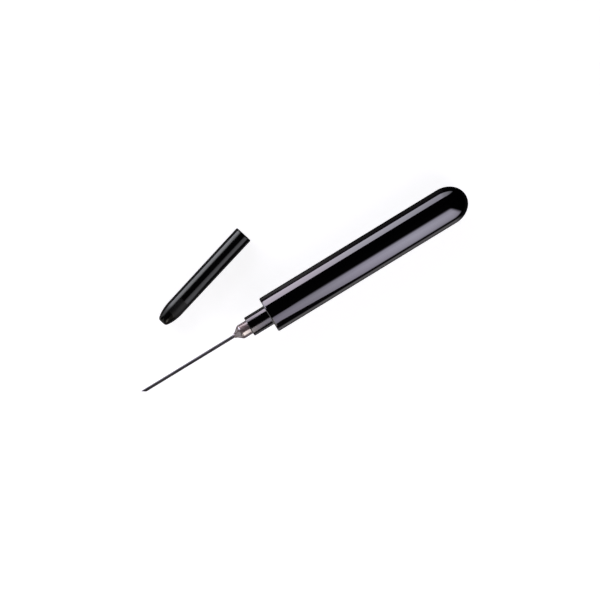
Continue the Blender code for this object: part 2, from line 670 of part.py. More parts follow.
def needle_cap(parent):
    """Tapered cap, a closed tube from its flat tip to its rounded mouth, laid beside the pump."""
    squeeze = math.sqrt(1 - (CAP_TIP_RADIUS / CAP_RADIUS) ** 2) / CAP_TAPER

    def taper(height, inset):
        """Radius of the elliptical taper at a height from the tip, less an inset."""
        return CAP_RADIUS * math.sqrt(1 - ((CAP_TAPER - height) * squeeze) ** 2) - inset

    slant = math.radians(CAP_TIP_SLANT)
    reach_out = (taper(CAP_TIP_ROUND, 0) - CAP_TIP_FLAT) / math.cos(slant)
    reach_up = CAP_TIP_ROUND / (1 - math.sin(slant))
    tip_centre = (CAP_TIP_FLAT, reach_up)
    outline = [(0, 0)] + arc(tip_centre, (reach_out, reach_up), -90, -CAP_TIP_SLANT, ROUND_STEPS)
    for step in range(1, TAPER_STEPS + 1):
        height = CAP_TIP_ROUND + (CAP_TAPER - CAP_TIP_ROUND) * step / TAPER_STEPS
        outline.append((taper(height, 0), height))
    mouth_centre = (CAP_MOUTH - CAP_MOUTH_STEP, CAP_LENGTH - CAP_MOUTH_ROUND)
    outline += arc(mouth_centre, (CAP_MOUTH_STEP, CAP_MOUTH_ROUND), 0, 90, ROUND_STEPS)
    outline += [(CAP_BORE + FIT_GAP, CAP_LENGTH), (CAP_BORE, CAP_LENGTH - FIT_GAP)]
    for step in range(TAPER_STEPS + 1):
        height = CAP_TAPER + (CAP_END_WALL - CAP_TAPER) * step / TAPER_STEPS
        outline.append((taper(height, CAP_WALL), height))
    outline.append((0, CAP_END_WALL))
    piece("needle_cap", turned(outline, TUBE_SIDES), SATIN_BLACK, parent, -CAP_LENGTH / 2)


def build():
    """Builds the pump on its axis and the cap on its own."""
    clear_scene()
    pump_axis = axis_empty("pump_axis", None)
    pump_axis.location = (DATUM_X, PUMP_Y, PUMP_Z)
    pump_axis.rotation_euler = (0, math.pi / 2, 0)
    for make in (pump_cylinder, rod_guide, head_guide_ring, needle_hub, hub_o_ring):
        make(pump_axis)
    for make in (needle, needle_ferrule, valve_seat, valve_spring):
        make(pump_axis)

    rod_slider = axis_empty("rod_slider", pump_axis)
    rod_slider["stroke"] = STROKE
    for make in (piston_rod, piston, piston_seal, piston_screw, rod_washer, rod_nut):
        make(rod_slider)

    handle_swivel = axis_empty("handle_swivel", rod_slider)
    for make in (handle_shell, mouth_bush, rod_anchor, stop_cushion):
        make(handle_swivel)

    ball_slider = axis_empty("ball_slider", pump_axis)
    ball_slider["lift"] = BALL_LIFT
    check_ball(ball_slider)

    cap_axis = axis_empty("cap_axis", None)
    cap_axis.location = (DATUM_X - CAP_MIDDLE_AHEAD, PUMP_Y + CAP_AXIS_Y, CAP_Z)
    cap_axis.rotation_euler = (0, math.pi / 2, CAP_TURN)
    needle_cap(cap_axis)


build()
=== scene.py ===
"""Looks of an air pump wine opener: its finely turned pieces, their finishes, and the studio round them.

Metres, +Z up. The pump's axis runs along X, the needle towards -X and the domed handle towards +X.
"""

import json
import logging
import math
from dataclasses import dataclass, field
from enum import Enum

import bmesh
import bpy
from mathutils import Matrix, Vector


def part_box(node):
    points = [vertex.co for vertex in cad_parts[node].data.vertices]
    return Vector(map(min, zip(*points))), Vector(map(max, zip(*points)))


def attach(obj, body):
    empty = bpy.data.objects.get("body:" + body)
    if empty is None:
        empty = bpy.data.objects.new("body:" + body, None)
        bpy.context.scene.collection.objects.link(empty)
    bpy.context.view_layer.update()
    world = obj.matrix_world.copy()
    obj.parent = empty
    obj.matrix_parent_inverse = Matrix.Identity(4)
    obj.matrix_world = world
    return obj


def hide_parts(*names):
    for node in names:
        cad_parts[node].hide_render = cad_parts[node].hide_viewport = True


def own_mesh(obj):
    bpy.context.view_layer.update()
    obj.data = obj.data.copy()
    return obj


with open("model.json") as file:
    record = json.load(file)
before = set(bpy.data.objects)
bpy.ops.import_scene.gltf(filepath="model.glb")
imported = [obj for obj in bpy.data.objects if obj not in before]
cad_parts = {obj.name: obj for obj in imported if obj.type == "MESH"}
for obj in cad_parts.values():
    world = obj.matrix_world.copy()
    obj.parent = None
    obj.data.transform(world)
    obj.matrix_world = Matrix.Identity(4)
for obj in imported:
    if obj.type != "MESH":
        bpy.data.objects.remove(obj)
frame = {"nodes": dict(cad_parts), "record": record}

MM = 0.001
SMOOTH_ANGLE = math.radians(32)
LOG = logging.getLogger("wine_opener")

Pair = tuple[float, float]
Outline = list[Pair]
Colour = tuple[float, float, float]
Socket = bpy.types.NodeSocket


class Slot(Enum):
    """Names of the record's material slots; nothing here puts a piece in one."""

    BARREL = "gloss_black_barrel"
    TUBE = "gloss_black_tube"
    CAP = "satin_black_cap"
    HUB = "chrome_hub"
    NEEDLE = "needle_steel"
    NYLON = "black_nylon"
    STEEL = "bright_steel"


class Grain(Enum):
    """Which way the marks of making run on a metal piece."""

    ROUND = "rings round the axis, as turning leaves them"
    ALONG = "streaks along the axis, as drawing leaves them"


@dataclass(frozen=True)
class Axis:
    """The line that a turned piece is turned about: a point on it, and the unit way along it."""

    origin: Vector
    along: Vector

    def at(self, height: float) -> Vector:
        """Gives the point on the axis at a height from its origin.

        Args:
            height: Distance along the axis.

        Returns:
            The point in the object's frame.
        """
        return self.origin + self.along * height

    def turn(self) -> Matrix:
        """Returns the rotation that carries +Z to the way along the axis."""
        return self.along.to_track_quat("Z", "Y").to_matrix()


class Wiring:
    """A node tree, with short calls that add its nodes and join them."""

    def __init__(self, tree: bpy.types.NodeTree) -> None:
        """Takes the tree in hand.

        Args:
            tree: The node tree.
        """
        self.tree = tree

    def add(self, kind: str, **settings: object) -> bpy.types.Node:
        """Adds a node.

        Args:
            kind: The node's type name.
            settings: Properties set on the node.

        Returns:
            The new node.
        """
        node = self.tree.nodes.new(kind)
        for name, value in settings.items():
            setattr(node, name, value)
        return node

    def join(self, source: Socket, target: Socket) -> None:
        """Draws a link from one socket to another."""
        self.tree.links.new(source, target)

    def place(self, turn: Matrix, stretch: Vector) -> Socket:
        """Gives Object coordinates, turned so that Z runs along the piece's axis, and stretched.

        Args:
            turn: Rotation that carries +Z to the axis.
            stretch: Scale on the turned coordinates, Z being along the axis.

        Returns:
            The socket that holds the coordinates.
        """
        source = self.add("ShaderNodeTexCoord")
        turned = self.add("ShaderNodeMapping", vector_type="POINT")
        turned.inputs["Rotation"].default_value = turn.inverted().to_euler()
        scaled = self.add("ShaderNodeMapping", vector_type="POINT")
        scaled.inputs["Scale"].default_value = stretch
        self.join(source.outputs["Object"], turned.inputs["Vector"])
        self.join(turned.outputs["Vector"], scaled.inputs["Vector"])
        return scaled.outputs["Vector"]

    def noise(self, place: Socket, scale: float, detail: float) -> Socket:
        """Adds a noise texture.

        Args:
            place: Coordinates that it reads.
            scale: Blobs to the metre, about.
            detail: Octaves of finer noise.

        Returns:
            The noise, from 0 to 1.
        """
        texture = self.add("ShaderNodeTexNoise")
        texture.inputs["Scale"].default_value = scale
        texture.inputs["Detail"].default_value = detail
        self.join(place, texture.inputs["Vector"])
        return texture.outputs["Fac"]

    def rings(self, place: Socket, pitch: float) -> Socket:
        """Adds fine uneven rings across Z, one to each pitch.

        Args:
            place: Coordinates that they read.
            pitch: Distance from ring to ring.

        Returns:
            The rings' height, from 0 to 1.
        """
        bands_to_unit = 20 / (2 * math.pi)
        texture = self.add("ShaderNodeTexWave", wave_type="BANDS", bands_direction="Z")
        texture.inputs["Scale"].default_value = 1 / (pitch * bands_to_unit)
        texture.inputs["Distortion"].default_value = 2.5
        texture.inputs["Detail"].default_value = 3
        texture.inputs["Detail Scale"].default_value = 0.4
        self.join(place, texture.inputs["Vector"])
        return texture.outputs["Fac"]

    def spread(self, source: Socket, span: Pair, out: Pair, way: str = "SMOOTHSTEP") -> Socket:
        """Maps a value from one span to another.

        Args:
            source: The value.
            span: Its lowest and highest value that count.
            out: What these become.
            way: SMOOTHSTEP for a soft start and end, or LINEAR.

        Returns:
            The mapped value.
        """
        node = self.add("ShaderNodeMapRange", interpolation_type=way)
        node.inputs["From Min"].default_value, node.inputs["From Max"].default_value = span
        node.inputs["To Min"].default_value, node.inputs["To Max"].default_value = out
        self.join(source, node.inputs["Value"])
        return node.outputs["Result"]

    def blend(self, share: Socket, first: Colour, second: Colour) -> Socket:
        """Mixes two colours.

        Args:
            share: Share of the second colour.
            first: Colour where the share is 0.
            second: Colour where it is 1.

        Returns:
            The mixed colour.
        """
        node = self.add("ShaderNodeMix", data_type="RGBA")
        colour_sockets = [socket for socket in node.inputs if socket.type == "RGBA"]
        colour_sockets[0].default_value = (*first, 1)
        colour_sockets[1].default_value = (*second, 1)
        self.join(share, node.inputs["Factor"])
        return next(socket for socket in node.outputs if socket.type == "RGBA")

    def reckon(self, operation: str, first: Socket, second: Socket | float) -> Socket:
        """Works out a sum, difference or product.

        Args:
            operation: ADD, SUBTRACT or MULTIPLY.
            first: One value.
            second: The other, or a number.

        Returns:
            The result.
        """
        node = self.add("ShaderNodeMath", operation=operation)
        self.join(first, node.inputs[0])
        if isinstance(second, float):
            node.inputs[1].default_value = second
        else:
            self.join(second, node.inputs[1])
        return node.outputs["Value"]

    def total(self, first: Socket, second: Socket) -> Socket:
        """Returns the sum of two values."""
        return self.reckon("ADD", first, second)

    def product(self, first: Socket, second: Socket | float) -> Socket:
        """Returns the product of two values."""
        return self.reckon("MULTIPLY", first, second)

    def ramp(self, source: Socket, stops: list[tuple[float, Colour]]) -> Socket:
        """Colours a value by what it is.

        Args:
            source: The value.
            stops: Values in rising order, each with its colour.

        Returns:
            The colour.
        """
        first, last = stops[0][0], stops[-1][0]
        share = self.spread(source, (first, last), (0, 1), "LINEAR")
        node = self.add("ShaderNodeValToRGB")
        elements = node.color_ramp.elements
        for place, _ in stops[1:-1]:
            elements.new((place - first) / (last - first))
        for element, (_, colour) in zip(elements, stops):
            element.color = (*colour, 1)
        self.join(share, node.inputs["Fac"])
        return node.outputs["Color"]


class NodeGraph(Wiring):
    """The node tree of a Principled material."""

    def __init__(self, name: str) -> None:
        """Starts a Principled material.

        Args:
            name: The material's name.
        """
        self.material = bpy.data.materials.new(name)
        self.material.use_nodes = True
        super().__init__(self.material.node_tree)
        self.shader = self.tree.nodes["Principled BSDF"]

    def feed(self, source: Socket, name: str) -> None:
        """Joins a value to the shader.

        Args:
            source: The value.
            name: The shader's input.
        """
        self.join(source, self.shader.inputs[name])

    def fix(self, **values: float | tuple[float, float, float, float]) -> None:
        """Sets constants on the shader's own sockets.

        Args:
            values: Socket names, with _ for a space, and their values.
        """
        for name, value in values.items():
            self.shader.inputs[name.replace("_", " ")].default_value = value

    def relief(self, height: Socket, depth: float, *inputs: str) -> None:
        """Turns a height into a bump on the shader.

        Args:
            height: The height, from 0 to 1.
            depth: Distance that 1 stands for.
            inputs: The shader's normal inputs that take it.
        """
        node = self.add("ShaderNodeBump")
        node.inputs["Distance"].default_value = depth
        self.join(height, node.inputs["Height"])
        for name in inputs:
            self.join(node.outputs["Normal"], self.shader.inputs[name])


@dataclass(frozen=True)
class Lacquer:
    """Clear-coated moulded plastic: two near tones, a faint orange peel and smudges that dull the gloss.

    Each noise is given by its blobs to the metre and its octaves.
    """

    name: str
    deep: Colour
    pale: Colour
    gloss: float
    smudge: float
    coat_ior: float
    clouds: Pair = (55, 3)
    smears: Pair = (90, 6)
    smear_levels: Pair = (0.48, 0.74)
    hairlines: Pair = (2600, 2)
    hairline_levels: Pair = (0.66, 0.74)
    hairline_draw: float = 0.06
    peel: Pair = (420, 1)
    peel_depth: float = 0.0012 * MM
    sheen_step: float = 0.01

    def material(self, axis: Axis) -> bpy.types.Material:
        """Builds and returns the finish for a piece on this axis."""
        graph = NodeGraph(self.name)
        even = graph.place(axis.turn(), Vector((1, 1, 1)))
        drawn = graph.place(axis.turn(), Vector((1, 1, self.hairline_draw)))
        clouds = graph.noise(even, *self.clouds)
        graph.feed(graph.blend(clouds, self.deep, self.pale), "Base Color")
        smears = graph.spread(graph.noise(even, *self.smears), self.smear_levels, (0, self.smudge))
        hairlines = graph.spread(graph.noise(drawn, *self.hairlines), self.hairline_levels, (0, self.smudge))
        marks = graph.total(smears, hairlines)
        sheen = graph.spread(clouds, (0, 1), (self.gloss, self.gloss + self.sheen_step))
        graph.feed(graph.total(marks, sheen), "Roughness")
        graph.fix(IOR=1.5, Coat_Weight=1.0, Coat_Roughness=self.gloss, Coat_IOR=self.coat_ior)
        graph.relief(graph.noise(even, *self.peel), self.peel_depth, "Normal", "Coat Normal")
        return graph.material


@dataclass(frozen=True)
class Moulding:
    """Uncoated moulded plastic or rubber: a fine grain, cloudy tone and uneven sheen."""

    name: str
    deep: Colour
    pale: Colour
    dull: float
    grain_depth: float
    grain_size: float = 0.16 * MM
    ior: float = 1.5
    tint: Colour = (1.0, 1.0, 1.0)
    scuff: float = 0.0
    scuff_span: Pair = (0.0, 0.0)
    scuff_side: Pair = (0.0, 0.0)
    scuff_blur: float = 0.5 * MM
    clouds: Pair = (130, 4)
    cloud_levels: Pair = (0.3, 0.7)
    swing: Pair = (-0.02, 0.03)
    grain_octaves: float = 2

    def material(self, axis: Axis) -> bpy.types.Material:
        """Builds and returns the finish for a piece on this axis."""
        graph = NodeGraph(self.name)
        even = graph.place(axis.turn(), Vector((1, 1, 1)))
        clouds = graph.noise(even, *self.clouds)
        graph.feed(graph.blend(clouds, self.deep, self.pale), "Base Color")
        sheen = graph.spread(clouds, self.cloud_levels, tuple(self.dull + part for part in self.swing))
        if self.scuff > 0:
            sheen = graph.total(sheen, self.rubbed(graph, even, axis))
        graph.feed(sheen, "Roughness")
        graph.fix(IOR=self.ior, Specular_Tint=(*self.tint, 1))
        grain = graph.noise(even, 1 / self.grain_size, self.grain_octaves)
        graph.relief(grain, self.grain_depth, "Normal")
        return graph.material

    def rubbed(self, graph: NodeGraph, place: Socket, axis: Axis) -> Socket:
        """Adds the dull patch on one side of the piece.

        Args:
            graph: The finish's node tree.
            place: Coordinates turned to the axis.
            axis: The piece's axis.

        Returns:
            What the patch adds to the roughness.
        """
        parts = graph.add("ShaderNodeSeparateXYZ")
        graph.join(place, parts.inputs["Vector"])
        foot = axis.turn().inverted() @ axis.origin
        begin, end = (foot.z + height for height in self.scuff_span)
        side = tuple(foot.x + reach for reach in self.scuff_side)
        along, blur = parts.outputs["Z"], self.scuff_blur
        after = graph.spread(along, (begin - blur, begin + blur), (0, self.scuff))
        before = graph.spread(along, (end - blur, end + blur), (1, 0))
        return graph.product(graph.product(after, before), graph.spread(parts.outputs["X"], side, (1, 0)))


@dataclass(frozen=True)
class Metal:
    """Bare or plated metal, with the marks that turning or drawing left and a slight tarnish."""

    name: str
    bright: Colour
    tarnish: Colour
    polish: float
    grain: Grain
    grain_depth: float = 0.0006 * MM
    grain_size: float = 0.09 * MM
    plating: float = 0.0
    plating_gloss: float = 0.2
    plating_ior: float = 2.5
    edge: Colour = (1.0, 1.0, 1.0)
    clouds: Pair = (240, 5)
    stain_levels: Pair = (0.45, 0.8)
    dull_levels: Pair = (0.4, 0.8)
    dulling: float = 0.05
    swing: Pair = (-0.02, 0.03)
    streak_draw: float = 0.02
    streak_octaves: float = 3

    def material(self, axis: Axis) -> bpy.types.Material:
        """Builds and returns the finish for a piece on this axis."""
        graph = NodeGraph(self.name)
        even = graph.place(axis.turn(), Vector((1, 1, 1)))
        clouds = graph.noise(even, *self.clouds)
        stains = graph.spread(clouds, self.stain_levels, (0, 1))
        graph.feed(graph.blend(stains, self.bright, self.tarnish), "Base Color")
        if self.grain is Grain.ROUND:
            marks = graph.rings(even, self.grain_size)
        else:
            streaks = graph.place(axis.turn(), Vector((1, 1, self.streak_draw)))
            marks = graph.noise(streaks, 1 / self.grain_size, self.streak_octaves)
        wear = graph.spread(marks, (0, 1), tuple(self.polish + part for part in self.swing))
        dulled = graph.spread(clouds, self.dull_levels, (0, self.dulling))
        graph.feed(graph.total(wear, dulled), "Roughness")
        graph.fix(Metallic=1.0, Specular_Tint=(*self.edge, 1), Coat_Weight=self.plating)
        graph.fix(Coat_Roughness=self.plating_gloss, Coat_IOR=self.plating_ior)
        graph.relief(marks, self.grain_depth, "Normal")
        return graph.material


GLOSS_BLACK = Lacquer("gloss_black", (0.0005, 0.0005, 0.0006), (0.0010, 0.0009, 0.0012), 0.035, 0.05, 1.75)
TUBE_BLACK = Lacquer("tube_black", (0.0006, 0.0006, 0.0007), (0.0012, 0.0011, 0.0014), 0.100, 0.05, 1.75)
SATIN_BLACK = Moulding(
    "satin_black",
    (0.0010, 0.0010, 0.0011),
    (0.0022, 0.0021, 0.0023),
    0.155,
    0.002 * MM,
    ior=1.4,
    tint=(0.95, 0.985, 0.86),
    scuff=0.34,
    scuff_span=(7.0 * MM, 17.0 * MM),
    scuff_side=(0.2 * MM, 1.8 * MM),
)
BLACK_NYLON = Moulding("black_nylon", (0.008, 0.008, 0.008), (0.014, 0.014, 0.014), 0.46, 0.010 * MM)
WHITE_ACETAL = Moulding("white_acetal", (0.74, 0.73, 0.69), (0.82, 0.81, 0.78), 0.36, 0.006 * MM)
BLACK_RUBBER = Moulding("black_rubber", (0.012, 0.012, 0.012), (0.022, 0.021, 0.021), 0.66, 0.014 * MM)
RED_RUBBER = Moulding("red_rubber", (0.30, 0.045, 0.035), (0.40, 0.075, 0.055), 0.55, 0.010 * MM)
CHROME = Metal(
    "hub_chrome",
    (0.26, 0.207, 0.195),
    (0.21, 0.157, 0.144),
    0.60,
    Grain.ROUND,
    plating=1.0,
    plating_gloss=0.06,
)
NEEDLE_STEEL = Metal(
    "needle_steel", (0.095, 0.092, 0.095), (0.060, 0.058, 0.060), 0.28, Grain.ALONG, edge=(0.30, 0.29, 0.30)
)
BRIGHT_STEEL = Metal("bright_steel", (0.56, 0.56, 0.57), (0.42, 0.41, 0.41), 0.16, Grain.ALONG)
TURNED_STEEL = Metal("turned_steel", (0.56, 0.56, 0.57), (0.40, 0.39, 0.39), 0.22, Grain.ROUND)
BRASS = Metal("brass", (0.70, 0.50, 0.22), (0.50, 0.32, 0.12), 0.24, Grain.ROUND)


def select_nothing() -> None:
    """Leaves object mode if need be and deselects every object."""
    if bpy.context.mode != "OBJECT":
        bpy.ops.object.mode_set(mode="OBJECT")
    bpy.ops.object.select_all(action="DESELECT")


def face_outwards() -> None:
    """Turns all faces of the piece in edit mode outwards, and leaves edit mode."""
    bpy.ops.mesh.select_all(action="SELECT")
    bpy.ops.mesh.normals_make_consistent(inside=False)
    bpy.ops.object.mode_set(mode="OBJECT")


def settle() -> None:
    """Puts the active piece's place into its mesh and shades it."""
    bpy.ops.object.transform_apply(location=True, rotation=True, scale=True)
    bpy.ops.object.shade_smooth_by_angle(angle=SMOOTH_ANGLE)


def arc(centre: Pair, reach: Pair, span: Pair, steps: int) -> Outline:
    """Points of an elliptical arc in an outline.

    Args:
        centre: Height and radius of its middle.
        reach: Its half axes along the height and along the radius.
        span: First and last angle in degrees, from 0 outwards to 90 up the axis.
        steps: Number of steps between them.

    Returns:
        The points, as height and radius.
    """
    angles = [math.radians(span[0] + (span[1] - span[0]) * step / steps) for step in range(steps + 1)]
    return [(centre[0] + reach[0] * math.sin(a), centre[1] + reach[1] * math.cos(a)) for a in angles]


@dataclass
class Turning:
    """Turns a closed outline about an axis, by dragging a ring of edges through the outline's points."""

    name: str
    axis: Axis
    outline: Outline
    sides: int = 160
    weld: float = 0.002 * MM
    hold: float = 0.2 * MM
    long_in_holds: int = 6

    def build(self) -> bpy.types.Object:
        """Models the piece.

        Returns:
            The piece, its place in its mesh.
        """
        closed = self.outline[0][1] > self.weld
        points = self.held(self.outline + self.outline[:1] if closed else self.outline[1:-1])
        select_nothing()
        height, radius = points[0]
        bpy.ops.mesh.primitive_circle_add(
            vertices=self.sides,
            radius=radius,
            fill_type="NOTHING",
            location=self.axis.at(height),
            rotation=self.axis.turn().to_euler(),
        )
        piece = bpy.context.object
        piece.name = piece.data.name = self.name
        bpy.ops.object.mode_set(mode="EDIT")
        bpy.ops.mesh.select_all(action="SELECT")
        for here, there in zip(points, points[1:]):
            bpy.ops.mesh.extrude_edges_move()
            self.reshape(here, there)
        if closed:
            bpy.ops.mesh.select_all(action="SELECT")
            bpy.ops.mesh.remove_doubles(threshold=self.weld)
        else:
            self.close_pole(piece, points[-1], self.outline[-1])
            self.close_pole(piece, points[0], self.outline[0])
        face_outwards()
        settle()
        return piece

    def held(self, points: Outline) -> Outline:
        """Adds a ring close to each end of a long straight stretch, so that its shading stays flat.

        Args:
            points: The outline's points.

        Returns:
            The points with the holding ones among them.
        """
        held = points[:1]
        for start, end in zip(points, points[1:]):
            length = math.dist(start, end)
            if length > self.long_in_holds * self.hold:
                share = self.hold / length
                for part in (share, 1 - share):
                    held.append(tuple(low + (high - low) * part for low, high in zip(start, end)))
            held.append(end)
        return held

    def reshape(self, here: Pair, there: Pair) -> None:
        """Moves the selected ring of edges from one outline point to the next.

        Args:
            here: Height and radius where the ring is.
            there: Height and radius where it goes.
        """
        ratio = there[1] / here[1]
        if ratio != 1:
            bpy.ops.transform.resize(value=(ratio, ratio, ratio), center_override=self.axis.at(here[0]))
        bpy.ops.transform.translate(value=self.axis.along * (there[0] - here[0]))

    def close_pole(self, piece: bpy.types.Object, rim: Pair, pole: Pair) -> None:
        """Closes an open ring of edges to a point on the axis.

        Args:
            piece: The piece in edit mode.
            rim: Height and radius of the open ring.
            pole: Height and radius, zero, of the point.
        """
        bpy.ops.mesh.select_all(action="DESELECT")
        bpy.ops.mesh.select_mode(type="VERT")
        bpy.ops.object.mode_set(mode="OBJECT")
        middle = self.axis.at(rim[0])
        to_world = piece.matrix_world
        for vertex in piece.data.vertices:
            offset = to_world @ vertex.co - middle
            along = offset.dot(self.axis.along)
            across = (offset - self.axis.along * along).length
            vertex.select = abs(along) < self.weld and abs(across - rim[1]) < self.weld
        bpy.ops.object.mode_set(mode="EDIT")
        bpy.ops.mesh.select_mode(type="EDGE")
        bpy.ops.mesh.extrude_edges_move()
        bpy.ops.transform.translate(value=self.axis.along * (pole[0] - rim[0]))
        bpy.ops.mesh.merge(type="CENTER")


def soften(piece: bpy.types.Object, width: float, segments: int, angle: float) -> None:
    """Rounds a piece's sharp edges with a bevel that is applied.

    Args:
        piece: The piece.
        width: Width of the bevel.
        segments: Facets across it.
        angle: Edges sharper than this are rounded, in degrees.
    """
    modifier = piece.modifiers.new("soften", "BEVEL")
    modifier.width = width
    modifier.segments = segments
    modifier.limit_method = "ANGLE"
    modifier.angle_limit = math.radians(angle)
    select_nothing()
    bpy.context.view_layer.objects.active = piece
    piece.select_set(True)
    bpy.ops.object.modifier_apply(modifier=modifier.name)


def dress(
    piece: bpy.types.Object, body: str, material: bpy.types.Material, replaced: tuple[str, ...]
) -> None:
    """Gives a new piece its material and its body, and hides the nodes that it stands for.

    Args:
        piece: The piece.
        body: The body that it moves with.
        material: Its finish.
        replaced: Nodes that it stands for.
    """
    piece.data.materials.clear()
    piece.data.materials.append(material)
    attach(piece, body)
    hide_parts(*replaced)
    LOG.info("%s rides on %s, %d faces", piece.name, body, len(piece.data.polygons))


def pump_axis() -> Axis:
    """Returns the pump's axis, with its heights being world X."""
    low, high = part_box("handle_shell")
    middle = (low + high) / 2
    return Axis(Vector((0, middle.y, middle.z)), Vector((1, 0, 0)))


def node_span(node: str) -> tuple[float, float, float]:
    """Measures a turned node on the pump's axis.

    Args:
        node: The node's name.

    Returns:
        Its lowest and highest height, and its radius.
    """
    low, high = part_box(node)
    return low.x, high.x, (high.z - low.z) / 2


@dataclass
class Handle:
    """The sliding handle: the domed barrel, and the bush in its mouth."""

    axis: Axis
    wall: float = 1.8 * MM
    dome_length: float = 12.45 * MM
    dome_wall: float = 2.4 * MM
    mouth_fillet: float = 0.8 * MM
    bore_chamfer: float = 0.3 * MM
    fit_gap: float = 0.1 * MM
    dome_steps: int = 36
    fillet_steps: int = 8
    bush_sides: int = 96
    bush_edge_steps: int = 3
    bush_edge_angle: float = 40.0

    def barrel(self) -> bpy.types.Object:
        """Models and returns the barrel, hollow right into its dome."""
        mouth, tip, radius = node_span("handle_shell")
        bore = radius - self.wall
        dome = tip - self.dome_length
        fillet_middle = (mouth + self.mouth_fillet, radius - self.mouth_fillet)
        fillet_reach = (self.mouth_fillet, self.mouth_fillet)
        outline = arc((dome, 0), (self.dome_length, radius), (90, 0), self.dome_steps)
        outline += arc(fillet_middle, fillet_reach, (0, -90), self.fillet_steps)
        outline += [(mouth, bore + self.bore_chamfer), (mouth + self.bore_chamfer, bore)]
        outline += arc((dome, 0), (self.dome_length - self.dome_wall, bore), (0, 90), self.dome_steps // 2)
        return Turning("handle_barrel", self.axis, outline).build()

    def bush(self) -> bpy.types.Object:
        """Models and returns the bush that runs on the cylinder."""
        front, back, outer = node_span("mouth_bush")
        inner = node_span("pump_cylinder")[2] + self.fit_gap
        outline = [(front, inner), (front, outer), (back, outer), (back, inner)]
        bush = Turning("handle_bush", self.axis, outline, sides=self.bush_sides).build()
        soften(bush, self.bore_chamfer, self.bush_edge_steps, self.bush_edge_angle)
        return bush

    def build(self) -> None:
        """Builds and dresses the handle's new pieces."""
        dress(self.barrel(), "handle", GLOSS_BLACK.material(self.axis), ("handle_shell",))
        dress(self.bush(), "handle", BLACK_NYLON.material(self.axis), ("mouth_bush",))


